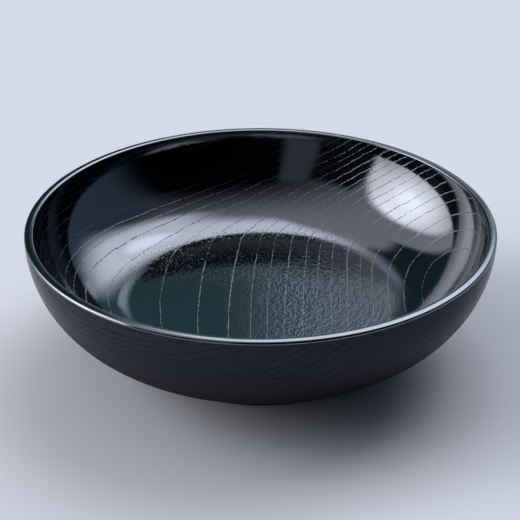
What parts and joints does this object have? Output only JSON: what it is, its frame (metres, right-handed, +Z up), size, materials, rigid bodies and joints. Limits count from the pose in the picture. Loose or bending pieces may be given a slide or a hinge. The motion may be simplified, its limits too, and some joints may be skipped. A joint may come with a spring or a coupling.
{
  "type": "lacquer bowl",
  "caption": "Wide round bowl of turned wood under black lacquer, gloss inside and satin outside, standing on a low foot ring.",
  "frame": {"origin": "on the table plane, under the middle of the foot ring", "axes": "+Z up along the turning axis; +Y along the wood fibres, away from the viewer in the picture; +X to the viewer's right"},
  "size_m": [0.24, 0.24, 0.072],
  "materials": {
    "wood": "turned and sealed",
    "gloss_lacquer": "high gloss over open grain",
    "rim_lacquer": "gloss, grain filled",
    "satin_lacquer": "satin over open grain"
  },
  "bodies": {
    "root": {"wood_body": "wood", "foot_ring": "wood", "inner_lacquer": "gloss_lacquer", "rim_lacquer": "rim_lacquer", "outer_lacquer": "satin_lacquer", "foot_lacquer": "satin_lacquer", "foot_well_lacquer": "satin_lacquer"}
  },
  "joints": []
}
